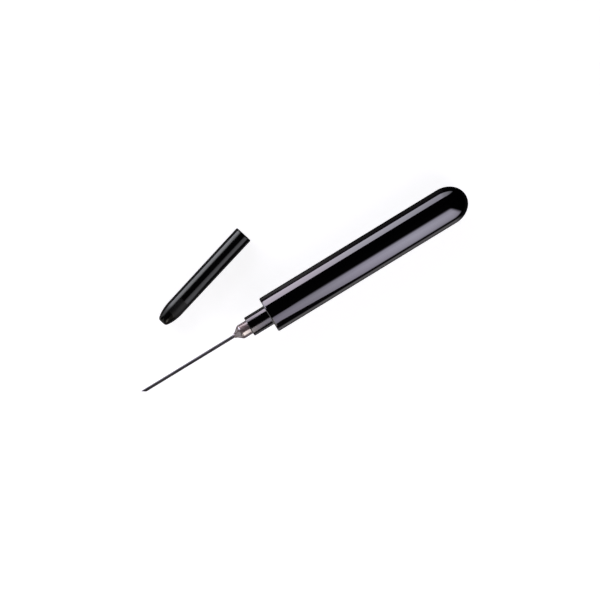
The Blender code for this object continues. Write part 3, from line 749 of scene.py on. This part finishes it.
@dataclass
class Pump:
    """The pump's fixed front: the cylinder with its neck, the hub and the needle."""

    axis: Axis
    cylinder_wall: float = 1.2 * MM
    neck_fillet: float = 0.4 * MM
    nose_length: float = 9.0 * MM
    hub_seat: float = 3.2 * MM
    hub_recess: float = 0.4 * MM
    cone_length: float = 4.9 * MM
    cone_tip_wall: float = 0.3 * MM
    fit_gap: float = 0.1 * MM
    point_length: float = 2.6 * MM
    point_solid: float = 5.0 * MM
    port_back: float = 6.6 * MM
    port_radius: float = 0.3 * MM
    needle_wall: float = 0.4 * MM
    bisect_nearness: float = 0.001 * MM
    flare_steps: int = 28
    neck_fillet_steps: int = 6
    needle_sides: int = 64
    port_sides: int = 32
    point_edge: float = 0.03 * MM
    point_edge_steps: int = 2
    point_edge_angle: float = 50.0

    def cylinder(self) -> bpy.types.Object:
        """Models and returns the cylinder, bored through, with the recess that the hub sits in."""
        face, back, radius = node_span("pump_cylinder")
        recess = node_span("needle_hub")[2] + self.fit_gap
        bore = radius - self.cylinder_wall
        fillet_middle = (face + self.neck_fillet, radius - self.neck_fillet)
        outline = [(face + self.hub_recess, self.hub_seat), (face + self.hub_recess, recess), (face, recess)]
        outline += arc(fillet_middle, (self.neck_fillet, self.neck_fillet), (-90, 0), self.neck_fillet_steps)
        outline += [(back, radius), (back, bore)]
        outline += [(face + self.nose_length, bore), (face + self.nose_length, self.hub_seat)]
        return Turning("pump_tube", self.axis, outline).build()

    def hub(self) -> bpy.types.Object:
        """Models and returns the chrome hub with its flared cone, bored for the needle."""
        cone_front, stem_back, radius = node_span("needle_hub")
        face = node_span("pump_cylinder")[0]
        needle = self.needle_radius() + self.fit_gap
        tip = needle + self.cone_tip_wall
        outline = [(cone_front, needle)]
        for step in range(self.flare_steps + 1):
            share = step / self.flare_steps
            swell = (radius - tip) * (1 - math.cos(math.pi * share)) / 2
            outline.append((cone_front + self.cone_length * share, tip + swell))
        seat, stem = face + self.fit_gap, self.hub_seat - 2 * self.fit_gap
        outline += [(seat, radius), (seat, stem), (stem_back, stem), (stem_back, needle)]
        return Turning("hub_nose", self.axis, outline).build()

    def needle_radius(self) -> float:
        """Returns the needle's radius."""
        return node_span("needle")[2]

    def needle(self) -> bpy.types.Object:
        """Models and returns the needle: a tube with a slanted point and a side port behind it."""
        tip, back, radius = node_span("needle")
        bore = radius - self.needle_wall
        outline = [(tip, 0), (tip, radius), (back, radius), (back, bore), (tip + self.point_solid, bore)]
        outline.append((tip + self.point_solid, 0))
        needle = Turning("needle_tube", self.axis, outline, sides=self.needle_sides).build()
        self.grind(needle)
        self.drill(needle)
        return needle

    def grind(self, needle: bpy.types.Object) -> None:
        """Cuts the needle's slanted point."""
        tip, _, radius = node_span("needle")
        select_nothing()
        bpy.context.view_layer.objects.active = needle
        bpy.ops.object.mode_set(mode="EDIT")
        bpy.ops.mesh.select_all(action="SELECT")
        bpy.ops.mesh.bisect(
            plane_co=self.axis.at(tip) + Vector((0, radius, 0)),
            plane_no=Vector((-2 * radius, -self.point_length, 0)).normalized(),
            clear_outer=True,
            use_fill=True,
            threshold=self.bisect_nearness,
        )
        face_outwards()
        soften(needle, self.point_edge, self.point_edge_steps, self.point_edge_angle)

    def drill(self, needle: bpy.types.Object) -> None:
        """Drills the needle's side port."""
        tip, _, radius = node_span("needle")
        select_nothing()
        middle = self.axis.at(tip + self.port_back) - Vector((0, 0, radius))
        bpy.ops.mesh.primitive_cylinder_add(
            vertices=self.port_sides, radius=self.port_radius, depth=2 * radius, location=middle
        )
        drill = bpy.context.object
        cut = needle.modifiers.new("port", "BOOLEAN")
        cut.operation = "DIFFERENCE"
        cut.object = drill
        select_nothing()
        bpy.context.view_layer.objects.active = needle
        bpy.ops.object.modifier_apply(modifier=cut.name)
        bpy.data.objects.remove(drill)

    def build(self) -> None:
        """Builds and dresses the pump's new pieces."""
        dress(self.cylinder(), "pump_body", TUBE_BLACK.material(self.axis), ("pump_cylinder",))
        dress(self.hub(), "pump_body", CHROME.material(self.axis), ("needle_hub",))
        dress(self.needle(), "pump_body", NEEDLE_STEEL.material(self.axis), ("needle",))


@dataclass
class Cap:
    """The needle's tapered cap, lying beside the pump."""

    wall: float = 0.8 * MM
    end_wall: float = 0.8 * MM
    flare: float = 0.175 * MM
    taper: float = 11.2 * MM
    tip_radius: float = 2.4 * MM
    tip_flat: float = 1.3 * MM
    tip_round: float = 0.9 * MM
    tip_slant: float = 30.0  # degrees short of outwards, where the tip's arc ends
    mouth_round: float = 0.9 * MM
    mouth_step: float = 0.55 * MM
    bore_chamfer: float = 0.1 * MM
    taper_steps: int = 40
    fillet_steps: int = 8
    mounts: dict[str, dict] = field(default_factory=lambda: {m["name"]: m for m in frame["record"]["mounts"]})

    def axis(self) -> Axis:
        """Returns the cap's axis, its heights counted from the flat tip towards the mouth."""
        low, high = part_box("needle_cap")
        tip = Vector(self.mounts["cap_tip_face"]["pos_m"])
        tip.z = (low.z + high.z) / 2
        return Axis(tip, Vector(self.mounts["cap_mouth_face"]["axis"]))

    def length(self) -> float:
        """Returns the cap's length from tip to mouth."""
        span = Vector(self.mounts["cap_mouth_face"]["pos_m"]) - Vector(self.mounts["cap_tip_face"]["pos_m"])
        return span.dot(self.axis().along)

    def shell(self) -> bpy.types.Object:
        """Models and returns the cap as a closed tube from its tip to its mouth and back inside."""
        low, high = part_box("needle_cap")
        mouth = (high.z - low.z) / 2
        radius = mouth - self.flare
        length = self.length()
        squeeze = math.sqrt(1 - (self.tip_radius / radius) ** 2) / self.taper

        def tapered(height: float) -> float:
            """Returns the outer radius at a height in the taper."""
            return radius * math.sqrt(1 - ((self.taper - height) * squeeze) ** 2)

        slant = math.radians(self.tip_slant)
        reach_up = self.tip_round / (1 - math.sin(slant))
        reach_out = (tapered(self.tip_round) - self.tip_flat) / math.cos(slant)
        tip_middle = (reach_up, self.tip_flat)
        outline = [(0, 0)] + arc(tip_middle, (reach_up, reach_out), (-90, -self.tip_slant), self.fillet_steps)
        for step in range(1, self.taper_steps + 1):
            height = self.tip_round + (self.taper - self.tip_round) * step / self.taper_steps
            outline.append((height, tapered(height)))
        mouth_middle = (length - self.mouth_round, mouth - self.mouth_step)
        outline += arc(mouth_middle, (self.mouth_round, self.mouth_step), (0, 90), self.fillet_steps)
        bore = radius - self.wall
        outline += [(length, bore + self.bore_chamfer), (length - self.bore_chamfer, bore)]
        for step in range(self.taper_steps + 1):
            height = self.taper + (self.end_wall - self.taper) * step / self.taper_steps
            outline.append((height, tapered(height) - self.wall))
        outline.append((self.end_wall, 0))
        return Turning("needle_cover", self.axis(), outline).build()

    def build(self) -> None:
        """Builds and dresses the cap."""
        dress(self.shell(), "cap", SATIN_BLACK.material(self.axis()), ("needle_cap",))


@dataclass
class Valve:
    """The check valve's spring, wound from round wire."""

    axis: Axis
    wire: float = 0.15 * MM
    coil: float = 0.95 * MM
    fit_gap: float = 0.1 * MM
    closed_pitch: float = 0.32 * MM
    turns: int = 6
    turn_steps: int = 24
    wire_sides: int = 14
    closed_turns: float = 0.75
    opening_turns: float = 0.5

    def span(self) -> Pair:
        """Finds the heights of the wire's two ends, one on the ferrule and one on the ball.

        Returns:
            The lower and the higher one.
        """
        ball_front, ball_back, _ = node_span("check_ball")
        reach = (ball_back - ball_front) / 2 + self.fit_gap + self.wire
        ball_end = (ball_front + ball_back) / 2 - math.sqrt(reach**2 - self.coil**2)
        return node_span("needle_ferrule")[1] + self.fit_gap + self.wire, ball_end

    def rises(self, length: float) -> list[float]:
        """Works out how far the wire climbs at each step, little in the closed turn at either end.

        Args:
            length: Height that it climbs in all.

        Returns:
            The climb of each step.
        """
        count = self.turns * self.turn_steps
        turned = [min(step + 0.5, count - step - 0.5) / self.turn_steps for step in range(count)]
        opened = [min(max((turn - self.closed_turns) / self.opening_turns, 0), 1) for turn in turned]
        closed_rise = self.closed_pitch / self.turn_steps
        open_rise = (length - closed_rise * sum(1 - share for share in opened)) / sum(opened)
        return [closed_rise + (open_rise - closed_rise) * share for share in opened]

    def spring(self) -> bpy.types.Object:
        """Winds and returns the spring by dragging the wire's end face round the axis."""
        front, back = self.span()
        outwards = self.axis.turn() @ Vector((1, 0, 0))
        onwards = self.axis.along.cross(outwards)
        select_nothing()
        bpy.ops.mesh.primitive_circle_add(
            vertices=self.wire_sides,
            radius=self.wire,
            fill_type="NGON",
            location=self.axis.at(front) + outwards * self.coil,
            rotation=onwards.to_track_quat("Z", "Y").to_euler(),
        )
        piece = bpy.context.object
        piece.name = piece.data.name = "return_spring"
        bpy.ops.object.mode_set(mode="EDIT")
        bpy.ops.mesh.select_all(action="SELECT")
        for rise in self.rises(back - front):
            bpy.ops.mesh.extrude_region_move()
            bpy.ops.transform.rotate(
                value=2 * math.pi / self.turn_steps, orient_axis="X", center_override=self.axis.at(front)
            )
            bpy.ops.transform.translate(value=self.axis.along * rise)
        face_outwards()
        settle()
        return piece

    def build(self) -> None:
        """Builds and dresses the spring, and gives it a mesh of its own."""
        spring = self.spring()
        dress(spring, "pump_body", BRIGHT_STEEL.material(self.axis), ("valve_spring",))
        front, back = self.span()
        seated = front - self.wire
        self.axis.at(seated)
        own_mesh(spring)


@dataclass
class Workings:
    """The pieces inside that keep their own shapes and get their finishes here."""

    axis: Axis

    def build(self) -> None:
        """Dresses each inner node."""
        finishes = {
            WHITE_ACETAL: ("rod_guide", "piston", "valve_seat"),
            BLACK_NYLON: ("head_guide_ring", "rod_anchor"),
            BLACK_RUBBER: ("piston_seal", "stop_cushion"),
            RED_RUBBER: ("hub_o_ring",),
            BRIGHT_STEEL: ("piston_rod", "check_ball"),
            TURNED_STEEL: ("piston_screw", "rod_washer", "rod_nut"),
            BRASS: ("needle_ferrule",),
        }
        for finish, nodes in finishes.items():
            material = finish.material(self.axis)
            for name in nodes:
                for slot in frame["nodes"][name].material_slots:
                    slot.material = material
                LOG.info("%s is finished in %s", name, finish.name)


@dataclass
class SoftBox:
    """A long softbox beside the pump: a sheet that glows, brighter in some places on it than in others."""

    name: str
    axis: Axis
    tilt: float
    sheet: Outline
    light: tuple[tuple[float, float, float, float], ...]
    profile: tuple[Pair, ...]
    distance: float = 0.5
    end: Pair = (1.0, 2.0)
    end_slant: float = 0.0

    def build(self) -> None:
        """Makes the sheet and hangs it."""
        tilt = math.radians(self.tilt)
        outwards = Vector((0, -math.sin(tilt), math.cos(tilt)))
        mesh = bpy.data.meshes.new(self.name)
        leaf = bmesh.new()
        leaf.faces.new([leaf.verts.new((along, across, 0)) for along, across in self.sheet])
        leaf.to_mesh(mesh)
        leaf.free()
        mesh.materials.append(self.glow())
        sheet = bpy.data.objects.new(self.name, mesh)
        sheet.location = self.axis.origin + outwards * self.distance
        sheet.rotation_euler = (math.pi + tilt, 0, 0)
        sheet.visible_camera = False
        bpy.context.scene.collection.objects.link(sheet)

    def glow(self) -> bpy.types.Material:
        """Builds the emission, from the sheet's own coordinates in metres.

        Returns:
            The material.
        """
        graph = NodeGraph(self.name)
        graph.tree.nodes.remove(graph.shader)
        place = graph.add("ShaderNodeTexCoord")
        parts = graph.add("ShaderNodeSeparateXYZ")
        graph.join(place.outputs["Object"], parts.inputs["Vector"])
        x, y = parts.outputs["X"], parts.outputs["Y"]
        brightest = max(part for _, *light in self.light for part in light)
        tints = [(along, tuple(part / brightest for part in light)) for along, *light in self.light]
        level = graph.ramp(y, [(across, (share, share, share)) for across, share in self.profile])
        slanted = graph.reckon("SUBTRACT", x, graph.product(y, self.end_slant))
        strength = graph.product(level, graph.spread(slanted, self.end, (brightest, 0)))
        emission = graph.add("ShaderNodeEmission")
        graph.join(graph.ramp(x, tints), emission.inputs["Color"])
        graph.join(strength, emission.inputs["Strength"])
        graph.join(emission.outputs["Emission"], graph.tree.nodes["Material Output"].inputs["Surface"])
        return graph.material


# Softboxes: tilt (degrees), outline (along, across), light (along, red, green, blue), level (across, share)

UPPER_TILT = -81.1
UPPER_SHEET = [
    (-0.6, -0.100),
    (-0.044, -0.100),
    (-0.031, -0.100),
    (-0.030, -0.147),
    (-0.023, -0.147),
    (0.005, -0.135),
    (0.047, -0.125),
    (0.112, -0.108),
    (0.180, -0.092),
    (0.310, -0.090),
    (0.385, -0.108),
    (0.470, -0.130),
    (0.620, -0.150),
    (0.549, -0.020),
    (0.470, 0.080),
    (0.392, 0.150),
    (0.320, 0.195),
    (0.179, 0.222),
    (-0.0435, 0.222),
    (-0.0445, 0.030),
    (-0.116, 0.030),
    (-0.118, 0.400),
    (-0.6, 0.400),
]
UPPER_LIGHT = (
    (-0.600, 1.20, 1.17, 1.40),
    (-0.400, 1.60, 1.57, 1.88),
    (-0.330, 2.40, 2.36, 2.85),
    (-0.270, 3.50, 3.43, 4.15),
    (-0.235, 5.20, 5.10, 6.17),
    (-0.190, 6.10, 5.98, 7.24),
    (-0.150, 7.10, 6.95, 8.42),
    (-0.119, 7.80, 7.64, 9.25),
    (-0.116, 2.30, 1.93, 1.86),
    (-0.0445, 2.30, 1.93, 1.86),
    (-0.0435, 3.55, 3.18, 3.78),
    (-0.023, 3.53, 3.18, 3.76),
    (0.005, 3.39, 3.05, 3.62),
    (0.047, 2.82, 2.71, 3.14),
    (0.089, 2.40, 2.33, 2.72),
    (0.112, 1.98, 1.91, 2.26),
    (0.230, 1.44, 1.41, 1.62),
    (0.320, 1.30, 1.27, 1.46),
    (0.392, 1.07, 1.05, 1.21),
    (0.470, 0.79, 0.77, 0.89),
    (0.549, 0.51, 0.50, 0.58),
    (0.631, 0.20, 0.20, 0.23),
)
UPPER_LEVEL = ((-0.15, 1.0), (0.18, 1.0), (0.26, 0.8), (0.40, 0.25))

LOWER_TILT = 56.5
LOWER_END = (0.23, 0.40)
LOWER_END_SLANT = 0.4
LOWER_SHEET = [
    (-0.6, -0.110),
    (-0.240, -0.110),
    (-0.220, -0.270),
    (-0.0445, -0.270),
    (-0.0435, -0.205),
    (-0.031, -0.215),
    (-0.026, -0.310),
    (-0.015, -0.310),
    (0.020, -0.420),
    (0.240, -0.420),
    (0.400, 0.000),
    (0.575, 0.435),
    (0.110, 0.435),
    (0.047, 0.405),
    (0.005, 0.225),
    (-0.023, 0.121),
    (-0.032, 0.200),
    (-0.040, 0.300),
    (-0.6, 0.300),
]
LOWER_LIGHT = (
    (-0.600, 0.20, 0.18, 0.18),
    (-0.345, 0.20, 0.18, 0.18),
    (-0.330, 4.30, 3.90, 3.77),
    (-0.272, 4.30, 3.90, 3.77),
    (-0.252, 0.20, 0.18, 0.18),
    (-0.066, 0.20, 0.18, 0.18),
    (-0.055, 5.20, 4.65, 4.37),
    (-0.0445, 5.20, 4.65, 4.37),
    (-0.0435, 0.75, 0.70, 0.87),
    (-0.035, 1.30, 1.21, 1.51),
    (-0.023, 1.66, 1.54, 1.93),
    (0.005, 1.86, 1.77, 2.15),
    (0.047, 2.47, 2.33, 2.90),
    (0.089, 2.76, 2.66, 3.25),
    (0.112, 2.53, 2.42, 2.96),
    (0.300, 2.25, 2.11, 2.61),
    (0.620, 2.10, 1.98, 2.44),
)
LOWER_LEVEL = (
    (-0.420, 0.00),
    (-0.360, 0.06),
    (-0.300, 0.40),
    (-0.250, 0.80),
    (-0.182, 0.88),
    (-0.121, 0.94),
    (-0.062, 1.00),
    (0.000, 0.96),
    (0.057, 0.91),
    (0.121, 0.86),
    (0.193, 0.77),
    (0.277, 0.68),
    (0.384, 0.40),
    (0.435, 0.20),
)


@dataclass
class Studio:
    """Floor, softboxes, room and camera."""

    axis: Axis
    lens: float = 200.0
    sensor: float = 36.0
    image_pixels: float = 600.0
    metres_to_pixel: float = 0.548 * MM
    neck_pixel: Pair = (249.3, 326.9)
    pump_turn: float = math.radians(31.4)
    floor_size: float = 8.0
    floor_glow: float = 0.84
    front_place: tuple[float, float, float] = (-0.7, -0.1, 0.28)  # Y counted from the pump's axis
    front_size: Pair = (0.56, 0.6)
    front_glow: float = 0.75
    room_colour: Colour = (1, 0.96, 1.0)
    backdrop_colour: Colour = (0.95, 0.95, 0.95)
    clipping: Pair = (0.01, 50)

    def floor(self) -> None:
        """Lays the plain pale floor."""
        select_nothing()
        bpy.ops.mesh.primitive_plane_add(size=self.floor_size, location=(0, 0, 0))
        floor = bpy.context.object
        floor.name = "floor"
        graph = NodeGraph("pale_floor")
        graph.fix(Roughness=0.9, Specular_IOR_Level=0.0, Emission_Strength=self.floor_glow)
        graph.fix(Base_Color=(0.5, 0.5, 0.5, 1), Emission_Color=(1, 1, 1, 1))
        floor.data.materials.append(graph.material)
        floor.visible_glossy = False

    def softboxes(self) -> None:
        """Hangs the two long softboxes that draw the bands along the black pieces, and the one in front."""
        upper = SoftBox("upper_box", self.axis, UPPER_TILT, UPPER_SHEET, UPPER_LIGHT, UPPER_LEVEL)
        upper.build()
        lower = SoftBox("lower_box", self.axis, LOWER_TILT, LOWER_SHEET, LOWER_LIGHT, LOWER_LEVEL)
        lower.end, lower.end_slant = LOWER_END, LOWER_END_SLANT
        lower.build()
        self.front_box()

    def front_box(self) -> None:
        """Hangs a dim softbox before the needle's point, which the hub's cone shows."""
        select_nothing()
        x, aside, z = self.front_place
        place = (x, self.axis.origin.y + aside, z)
        bpy.ops.mesh.primitive_plane_add(size=1, location=place, rotation=(0, math.pi / 2, 0))
        sheet = bpy.context.object
        sheet.name = "front_box"
        sheet.scale = (*self.front_size, 1)
        graph = NodeGraph("front_box")
        graph.fix(Base_Color=(0, 0, 0, 1), Emission_Color=(0.97, 0.95, 1.0, 1))
        graph.fix(Emission_Strength=self.front_glow)
        sheet.data.materials.append(graph.material)
        sheet.visible_camera = False

    def room(self) -> None:
        """Makes the room dark above, dim grey from below for the rims, and pale to the camera alone."""
        world = bpy.data.worlds.new("studio")
        bpy.context.scene.world = world
        world.use_nodes = True
        graph = Wiring(world.node_tree)
        place = graph.add("ShaderNodeTexCoord")
        parts = graph.add("ShaderNodeSeparateXYZ")
        graph.join(place.outputs["Generated"], parts.inputs["Vector"])
        x, y, z = (parts.outputs[name] for name in "XYZ")
        slanted = graph.total(z, graph.product(y, -0.09))
        glow = graph.spread(slanted, (-0.45, -0.28), (1, 0.012))
        # Each fade: what it reads, from where to where, and the share of the glow left at either end
        fades = ((z, (-0.98, -0.5), (0.12, 1)), (x, (0.05, 0.35), (1, 0.03)), (y, (-0.6, 0.6), (0.42, 0.15)))
        for source, span, out in fades:
            glow = graph.product(glow, graph.spread(source, span, out))
        dimmed = graph.product(graph.spread(x, (-0.005, 0.03), (0, 0.8)), graph.spread(y, (0, 0.3), (0, 1)))
        glow = graph.product(glow, graph.spread(dimmed, (0, 1), (1, 0), "LINEAR"))
        ahead = graph.spread(x, (-0.72, -0.50), (0.8, 0))
        glow = graph.total(glow, graph.product(ahead, graph.spread(z, (-0.12, -0.02), (1, 0))))
        room = world.node_tree.nodes["Background"]
        room.inputs["Color"].default_value = (*self.room_colour, 1)
        graph.join(glow, room.inputs["Strength"])
        backdrop = graph.add("ShaderNodeBackground")
        backdrop.inputs["Color"].default_value = (*self.backdrop_colour, 1)
        path = graph.add("ShaderNodeLightPath")
        mix = graph.add("ShaderNodeMixShader")
        graph.join(path.outputs["Is Camera Ray"], mix.inputs["Fac"])
        graph.join(room.outputs["Background"], mix.inputs[1])
        graph.join(backdrop.outputs["Background"], mix.inputs[2])
        graph.join(mix.outputs["Shader"], world.node_tree.nodes["World Output"].inputs["Surface"])

    def camera(self) -> None:
        """Hangs the camera over the object, turned as the photograph was taken."""
        turn = Matrix.Rotation(-self.pump_turn, 3, "Z")
        neck = self.axis.at(node_span("pump_cylinder")[0])
        half = self.image_pixels / 2
        across = (half - self.neck_pixel[0]) * self.metres_to_pixel
        up = (self.neck_pixel[1] - half) * self.metres_to_pixel
        aim = neck + turn @ Vector((across, up, 0))
        height = self.lens / self.sensor * self.image_pixels * self.metres_to_pixel
        data = bpy.data.cameras.new("camera")
        data.lens = self.lens
        data.sensor_width = self.sensor
        data.clip_start, data.clip_end = self.clipping
        camera = bpy.data.objects.new("camera", data)
        camera.location = aim + Vector((0, 0, height))
        camera.rotation_euler = (0, 0, -self.pump_turn)
        bpy.context.scene.collection.objects.link(camera)
        bpy.context.scene.camera = camera

    def build(self) -> None:
        """Sets the whole studio up."""
        self.floor()
        self.softboxes()
        self.room()
        self.camera()
        bpy.context.scene.view_settings.view_transform = "Standard"
        LOG.info("studio is set")


def main() -> None:
    """Builds the pieces in order, then the studio."""
    logging.basicConfig(level=logging.INFO, format="%(name)s: %(message)s")
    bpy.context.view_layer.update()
    axis = pump_axis()
    for part in (Handle(axis), Pump(axis), Cap(), Valve(axis), Workings(axis), Studio(axis)):
        part.build()


if __name__ == "__main__":
    main()
